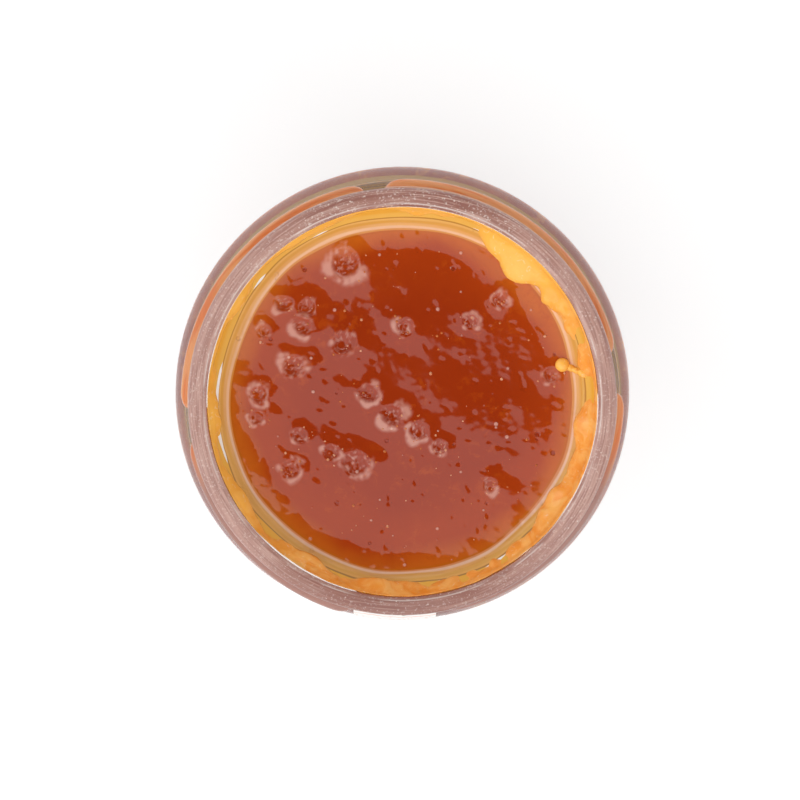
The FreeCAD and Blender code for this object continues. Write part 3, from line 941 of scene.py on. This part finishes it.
# thicker stretches of pulp: middle angle, half span, thickness, share of the way down where it is thickest
pulpStretches = [
    (46.0, 24.0, 3.4, 0.80), (30.0, 16.0, 2.5, 0.80), (12.0, 12.0, 1.3, 0.7), (346.0, 20.0, 2.3, 0.75),
    (328.0, 20.0, 2.2, 0.75), (308.0, 16.0, 1.6, 0.7), (288.0, 14.0, 1.4, 0.6), (264.0, 20.0, 1.6, 0.6),
    (238.0, 18.0, 1.5, 0.55), (212.0, 16.0, 1.15, 0.5), (184.0, 18.0, 1.25, 0.5), (152.0, 18.0, 0.8, 0.4),
    (118.0, 22.0, 0.55, 0.35), (84.0, 18.0, 0.7, 0.5),
]
p = pulpSizes
nodesOfPulp = ("smear_upper_right", "smear_lower_right", "smear_front", "smear_left")


def pulpThickness(angle, share):
    # how far the pulp stands out of the wall at an angle and a share of the way down
    thick = p["filmThin"] * smoothStep(0.0, 0.12, share)
    for middle, halfSpan, most, lowest in pulpStretches:
        off = (angle - middle + 180) % 360 - 180
        if abs(off) < halfSpan:
            along = math.cos(off / halfSpan * math.pi / 2) ** 0.8
            across = math.exp(-((share - lowest) / p["bandShare"]) ** 2) * smoothStep(0.0, 0.16, share)
            thick = max(thick, most * along * across)
    turn = math.radians(angle)
    x, y = boreRadius * math.cos(turn), boreRadius * math.sin(turn)
    depth = share * p["bandHeight"]
    lumps, crumbs, change = (
        height * wobble(x / length, y / length, depth / length, seed) for height, length, seed in p["uneven"])
    standing = smoothStep(0.1, 0.5, share) * min(1.0, 2 * thick)
    return max(p["least"], thick * (1 + change) + (lumps + crumbs) * standing)


def pulpTop(angle):
    turn = math.radians(angle)
    x, y = boreRadius * math.cos(turn), boreRadius * math.sin(turn)
    ragged = 0.7 * wobble(x / 6, y / 6, 2.1, 14) + 0.3 * wobble(x / 1.6, y / 1.6, 0.4, 15)
    return jarHeight - p["topDepth"] + ragged


def buildPulp():
    # a closed band: up the wall on the outside, down over the lumps on the inside
    bm = bmesh.new()
    count = p["levels"]
    inside = [bm.verts.new((1, 0, index / count)) for index in range(count + 1)]
    outside = [bm.verts.new((2, 0, share)) for share in (1, 0)]
    ring = inside + outside
    edges = [bm.edges.new(pair) for pair in zip(ring, ring[1:] + ring[:1])]
    bmesh.ops.spin(bm, geom=ring + edges, cent=(0, 0, 0), axis=(0, 0, 1), angle=math.tau,
                   steps=p["steps"], use_merge=True)
    for vert in bm.verts:
        x, y, share = vert.co
        angle = angleOf(x, y)
        turn = math.radians(angle)
        top = min(jarHeight - 0.5, pulpTop(angle))
        bottom = jamLevel - p["sunk"]
        onWall = math.hypot(x, y) > 1.5
        radius = boreRadius + p["intoWall"] if onWall else boreRadius - pulpThickness(angle, share)
        height = top + (bottom - top) * share
        if not onWall:
            height += 0.18 * wobble(x * 9, y * 9, share * 3, 16) * share
        vert.co = (radius * math.cos(turn), radius * math.sin(turn), height)
    return finishMesh(bm, "wallPulp")


# beads that make the drop and its tail: x, y, radius, length over width
dropBeads = [(22.2, 5.0, 1.0, 1.0), (23.3, 4.6, 0.50, 1.8), (24.2, 4.2, 0.46, 1.9), (25.0, 3.9, 0.62, 1.4)]


def buildDrop():
    # a bright drop of pulp that fell on the jam near the right edge, with its tail
    bm = bmesh.new()
    for x, y, size, long in dropBeads:
        level = jamLevel + jamHeight(x, y)[0]
        lean = Matrix.Rotation(math.radians(-22), 4, "Z")
        spot = Matrix.Translation((x, y, level + 0.15 * size)) @ lean @ Matrix.Diagonal((long, 1, 0.8, 1))
        bmesh.ops.create_icosphere(bm, subdivisions=3, radius=size, matrix=spot)
    return finishMesh(bm, "fallenDrop")


pulpLook = {
    "deep": (0.93, 0.33, 0.045, 1), "light": (0.98, 0.48, 0.12, 1), "yellow": (0.96, 0.50, 0.075, 1),
    "pale": (0.97, 0.68, 0.36, 1), "roughness": 0.1,
    "wallYellow": (-0.006, 0.020), "dropYellow": (-0.040, -0.030),
}


def pulpMaterial(name, yellowFrom, yellowTo):
    material, nodes, shader = newMaterial(name, pulpLook["roughness"])
    place = nodes.place()
    shreds = nodes.noise(place, 330.0, 4.0, 0.6, 1.0)
    colour = nodes.mix(nodes.ramp(shreds, 0.35, 0.65), pulpLook["deep"], pulpLook["light"])
    # yellower towards the back and the left, where the pulp is thin
    x, y, z = nodes.split(place)
    side = nodes.maths("SUBTRACT", y, nodes.times(x, 0.7))
    side = nodes.maths("MULTIPLY_ADD", nodes.noise(place, 120.0), 0.02, side)
    colour = nodes.mix(nodes.ramp(side, yellowFrom, yellowTo, 0.0, 0.85), colour, pulpLook["yellow"])
    wisps = nodes.ramp(nodes.noise(place, 900.0, 3.0, 0.5, 2.0), 0.6, 0.75, 0.0, 0.6)
    colour = nodes.mix(wisps, colour, pulpLook["pale"])
    nodes.link(colour, shader.inputs["Base Color"])
    nodes.link(nodes.bump(shreds, 0.22, 0.0005), shader.inputs["Normal"])
    return material


apricotPulp = pulpMaterial("apricotPulp", *pulpLook["wallYellow"])
yellowPulp = pulpMaterial("yellowPulp", *pulpLook["dropYellow"])
pulp = newPiece("wallPulp", buildPulp(), [apricotPulp])
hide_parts(*nodesOfPulp)
newPiece("fallenDrop", buildDrop(), [yellowPulp])
print("pulp made,", len(pulp.data.polygons), "faces")


# ---- floor, light and camera

stageSizes = {"floor": 1.6, "floorBase": 0.50, "floorAdd": 0.56, "floorRough": 0.9}


def floorMaterial():
    material, nodes, shader = newMaterial("paleFloor", stageSizes["floorRough"])
    shader.inputs["Base Color"].default_value = (stageSizes["floorBase"],) * 3 + (1,)
    shader.inputs["Specular IOR Level"].default_value = 0.0
    path = nodes.add("LightPath")
    seen = nodes.maths("MAXIMUM", path.outputs["Is Camera Ray"], path.outputs["Is Glossy Ray"])
    seen = nodes.maths("MAXIMUM", seen, path.outputs["Is Transmission Ray"])
    shader.inputs["Emission Color"].default_value = (1, 1, 1, 1)
    nodes.link(nodes.times(seen, stageSizes["floorAdd"]), shader.inputs["Emission Strength"])
    return material


def buildFloor():
    bm = bmesh.new()
    bmesh.ops.create_grid(bm, x_segments=4, y_segments=4, size=stageSizes["floor"])
    mesh = bpy.data.meshes.new("floor")
    bm.to_mesh(mesh)
    bm.free()
    floor = bpy.data.objects.new("floor", mesh)
    scene.collection.objects.link(floor)
    mesh.materials.append(floorMaterial())


lightLook = {
    "boxAngle": 236.0, "boxEdge": 0.0328, "boxSoft": 0.004, "boxFar": 1.9, "boxFade": 0.1,
    "boxStrength": 1.55, "wallEnd": 0.42, "wallStart": 0.62, "wallStrength": 1.15,
    "stripLow": 0.735, "stripHigh": 0.785, "stripSoft": 0.01, "stripStrength": 3.6, "darkStrength": 0.1,
}


def buildWorld():
    # a large soft light beside the zenith, a dark gap above the jar, a thin strip light and pale walls
    world = bpy.data.worlds.new("studio")
    world.use_nodes = True
    scene.world = world
    nodes = Nodes(world.node_tree)
    x, y, z = nodes.split(nodes.add("TexCoord").outputs["Generated"])
    turn = math.radians(lightLook["boxAngle"])
    alongX = nodes.times(x, math.cos(turn))
    alongY = nodes.times(y, math.sin(turn))
    slope = nodes.maths("DIVIDE", nodes.maths("ADD", alongX, alongY), nodes.maths("MAXIMUM", z, 0.01))
    edge, far, soft = lightLook["boxEdge"], lightLook["boxFar"], lightLook["boxSoft"]
    box = nodes.ramp(slope, edge - soft, edge + soft)
    box = nodes.times(box, nodes.ramp(slope, far, far + lightLook["boxFade"], 1.0, 0.0))
    walls = nodes.ramp(z, lightLook["wallEnd"], lightLook["wallStart"], 1.0, 0.0)
    low, high, soft = lightLook["stripLow"], lightLook["stripHigh"], lightLook["stripSoft"]
    strip = nodes.ramp(z, low - soft, low + soft)
    strip = nodes.times(strip, nodes.ramp(z, high - soft, high + soft, 1.0, 0.0))
    glow = lightLook["darkStrength"]
    for light, strength in ((box, "boxStrength"), (walls, "wallStrength"), (strip, "stripStrength")):
        glow = nodes.maths("MAXIMUM", nodes.times(light, lightLook[strength]), glow)
    path = nodes.add("LightPath")
    seen = nodes.maths("MAXIMUM", path.outputs["Is Camera Ray"], path.outputs["Is Transmission Ray"])
    glow = nodes.mix(seen, glow, (1, 1, 1, 1))
    background = nodes.add("Background")
    nodes.link(glow, background.inputs[0])
    background.inputs[1].default_value = 1.0
    output = nodes.add("OutputWorld")
    nodes.link(background.outputs[0], output.inputs[0])


cameraSizes = {"tilt": 4.5, "distance": 226.0, "lens": 75.0, "shiftX": -0.003, "shiftY": 0.005}


def buildCamera():
    data = bpy.data.cameras.new("camera")
    data.lens = cameraSizes["lens"]
    data.sensor_width = 36.0
    camera = bpy.data.objects.new("camera", data)
    scene.collection.objects.link(camera)
    tilt = math.radians(cameraSizes["tilt"])
    target = Vector((0, 0, jarHeight)) * mm
    back = Vector((0, math.sin(tilt), math.cos(tilt)))
    camera.location = target + back * cameraSizes["distance"] * mm
    camera.rotation_euler = (-tilt, 0, 0)
    data.shift_x = cameraSizes["shiftX"]
    data.shift_y = cameraSizes["shiftY"]
    data.clip_start = 0.01
    scene.camera = camera


buildFloor()
buildWorld()
buildCamera()
print("stage made")
